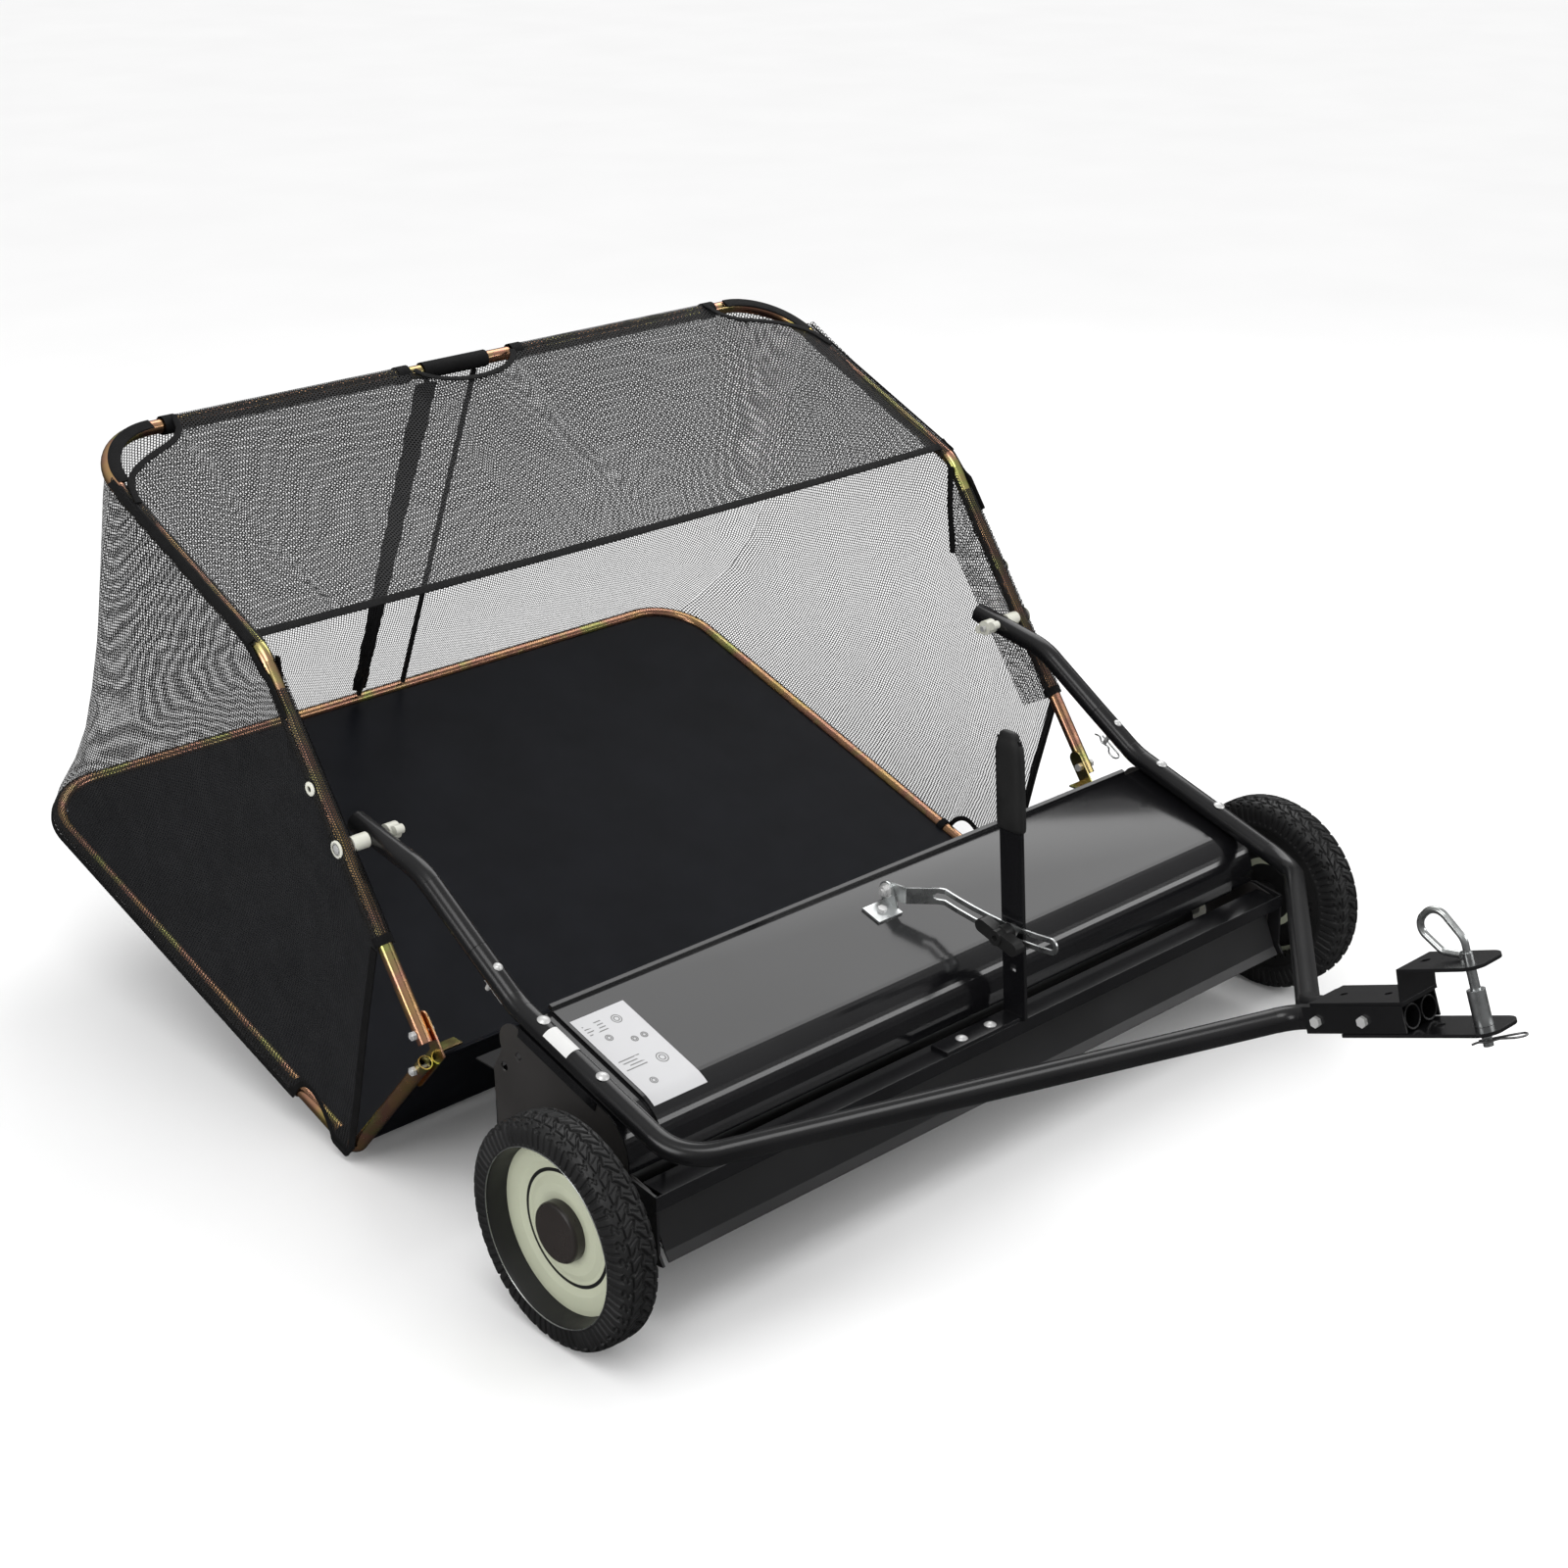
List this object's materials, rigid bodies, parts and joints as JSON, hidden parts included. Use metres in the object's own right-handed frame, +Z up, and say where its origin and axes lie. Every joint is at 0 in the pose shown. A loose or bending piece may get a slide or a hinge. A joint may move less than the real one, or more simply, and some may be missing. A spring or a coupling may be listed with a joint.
{
  "type": "lawn sweeper",
  "caption": "Tow-behind lawn sweeper: ground wheels gear a bristle brush under a sheet-metal hood, which throws leaves into a tipping mesh hopper; a lever sets brush height.",
  "frame": {"origin": "on the ground under the middle of the whole length, on the machine's centre plane", "axes": "+X to the machine's left, +Y to the rear, away from the hitch, +Z up"},
  "size_m": [1.346, 2.0363, 0.8446],
  "materials": {
    "housing_cover": "gloss black powder coat",
    "end_plate": "satin black powder coat",
    "rear_apron": "satin black powder coat",
    "brush_bushings": "natural nylon",
    "draw_tube": "semi-gloss black powder coat",
    "lift_arm": "semi-gloss black powder coat",
    "clevis_pins": "bright zinc",
    "clevis_hairpins": "bright zinc spring wire",
    "tube_bolts": "bright zinc",
    "hitch_bracket": "semi-gloss black powder coat",
    "hitch_ear_upper": "semi-gloss black powder coat",
    "hitch_ear_lower": "semi-gloss black powder coat",
    "hitch_bolts": "bright zinc",
    "strap_foot": "bright zinc sheet",
    "strap_foot_bolt": "bright zinc",
    "strap_pivot_bolt": "bright zinc",
    "quadrant_strap": "bright zinc sheet",
    "front_bar": "gloss black powder coat",
    "front_panel": "satin black powder coat",
    "wheel_arm": "satin black powder coat",
    "stub_axles": "turned steel",
    "axle_clips": "spring steel",
    "height_lever": "gloss black powder coat",
    "lever_grip": "soft matt rubber",
    "lever_bolts": "bright zinc",
    "lock_bolt": "bright zinc",
    "lock_knob": "moulded black plastic",
    "tyre": "black tread rubber",
    "wheel": "ivory-green moulded plastic",
    "hub_cap": "dark brown satin plastic",
    "brush_shaft": "plain steel",
    "brush_pinions": "sintered steel",
    "brush_core": "black moulded clamp halves",
    "brush_bristles": "stiff black bristle",
    "upper_frame": "yellow passivated zinc, iridescent",
    "lower_frame": "yellow passivated zinc, iridescent",
    "hopper_floor": "satin blue-black sheet",
    "hopper_lip": "satin blue-black sheet",
    "corner_brackets": "yellow passivated zinc, iridescent",
    "corner_bolts": "bright zinc",
    "support_rods": "black coated rod",
    "bag_roof": "open woven mesh",
    "bag_side": "open woven mesh",
    "bag_rear": "open woven mesh",
    "pivot_bolts": "bright zinc",
    "pivot_spacers": "natural nylon",
    "pivot_knob": "natural nylon",
    "hitch_pin": "bright zinc rod",
    "hitch_hairpin": "spring wire",
    "hitch_spacer": "bright zinc tube"
  },
  "bodies": {
    "chassis": {"housing_cover": "housing_cover", "end_plate_right": "end_plate", "end_plate_left": "end_plate", "rear_apron": "rear_apron", "brush_bushings": "brush_bushings", "draw_tube_right": "draw_tube", "draw_tube_left": "draw_tube", "lift_arm_right": "lift_arm", "lift_arm_left": "lift_arm", "clevis_pins": "clevis_pins", "clevis_hairpins": "clevis_hairpins", "tube_bolts": "tube_bolts", "hitch_bracket": "hitch_bracket", "hitch_ear_upper": "hitch_ear_upper", "hitch_ear_lower": "hitch_ear_lower", "hitch_bolts": "hitch_bolts", "strap_foot": "strap_foot", "strap_foot_bolt": "strap_foot_bolt", "strap_pivot_bolt": "strap_pivot_bolt"},
    "quadrant": {"quadrant_strap": "quadrant_strap"},
    "height_frame": {"front_bar": "front_bar", "front_panel": "front_panel", "wheel_arm_right": "wheel_arm", "wheel_arm_left": "wheel_arm", "stub_axles": "stub_axles", "axle_clips": "axle_clips", "height_lever": "height_lever", "lever_grip": "lever_grip", "lever_bolts": "lever_bolts", "lock_bolt": "lock_bolt"},
    "lock": {"lock_knob": "lock_knob"},
    "right_wheel": {"tyre_right": "tyre", "wheel_right": "wheel", "hub_cap_right": "hub_cap"},
    "left_wheel": {"tyre_left": "tyre", "wheel_left": "wheel", "hub_cap_left": "hub_cap"},
    "brush": {"brush_shaft": "brush_shaft", "brush_pinions": "brush_pinions", "brush_core": "brush_core", "brush_bristles": "brush_bristles"},
    "hopper": {"upper_frame": "upper_frame", "lower_frame": "lower_frame", "hopper_floor": "hopper_floor", "hopper_lip": "hopper_lip", "corner_brackets": "corner_brackets", "corner_bolts": "corner_bolts", "support_rods": "support_rods", "bag_roof": "bag_roof", "bag_side_right": "bag_side", "bag_side_left": "bag_side", "bag_rear": "bag_rear", "pivot_bolts": "pivot_bolts", "pivot_spacers": "pivot_spacers"},
    "right_pivot_knob": {"pivot_knob_right": "pivot_knob"},
    "left_pivot_knob": {"pivot_knob_left": "pivot_knob"},
    "pin": {"hitch_pin": "hitch_pin", "hitch_hairpin": "hitch_hairpin"},
    "spacer": {"hitch_spacer": "hitch_spacer"}
  },
  "joints": [
    {"name": "height_adjust", "type": "hinge", "parent": "chassis", "child": "height_frame", "pos_m": [0, -0.17015, 0.1185], "axis": [1, 0, 0], "range_deg": [-7, 10], "stiffness_Nm_per_rad": 2000},
    {"name": "strap_swing", "type": "hinge", "parent": "chassis", "child": "quadrant", "pos_m": [0, -0.10613, 0.309], "axis": [1, 0, 0], "range_deg": [-5, 7]},
    {"name": "lock_turn", "type": "hinge", "parent": "height_frame", "child": "lock", "pos_m": [0, -0.28673, 0.303], "axis": [1, 0, 0], "continuous": true},
    {"name": "right_wheel_spin", "type": "hinge", "parent": "height_frame", "child": "right_wheel", "pos_m": [0, -0.23413, 0.14], "axis": [1, 0, 0], "continuous": true},
    {"name": "left_wheel_spin", "type": "hinge", "parent": "height_frame", "child": "left_wheel", "pos_m": [0, -0.23413, 0.14], "axis": [1, 0, 0], "continuous": true},
    {"name": "brush_spin", "type": "hinge", "parent": "height_frame", "child": "brush", "pos_m": [0, -0.17015, 0.1185], "axis": [1, 0, 0], "continuous": true},
    {"name": "dump", "type": "hinge", "parent": "chassis", "child": "hopper", "pos_m": [0, 0.22185, 0.44777], "axis": [1, 0, 0], "range_deg": [0, 85]},
    {"name": "right_knob_turn", "type": "hinge", "parent": "hopper", "child": "right_pivot_knob", "pos_m": [0, 0.22185, 0.44777], "axis": [1, 0, 0], "continuous": true},
    {"name": "left_knob_turn", "type": "hinge", "parent": "hopper", "child": "left_pivot_knob", "pos_m": [0, 0.22185, 0.44777], "axis": [1, 0, 0], "continuous": true},
    {"name": "pin_turn", "type": "hinge", "parent": "chassis", "child": "pin", "pos_m": [0, -0.96945, 0.46794], "axis": [0, 0.3681, 0.9298], "continuous": true},
    {"name": "spacer_turn", "type": "hinge", "parent": "chassis", "child": "spacer", "pos_m": [0, -0.96945, 0.46794], "axis": [0, 0.3681, 0.9298], "continuous": true}
  ],
  "couplings": [
    {"joint": "strap_swing", "follows": "height_adjust", "ratio": 0.65},
    {"joint": "left_wheel_spin", "follows": "right_wheel_spin", "ratio": 1},
    {"joint": "brush_spin", "follows": "right_wheel_spin", "ratio": 4}
  ]
}
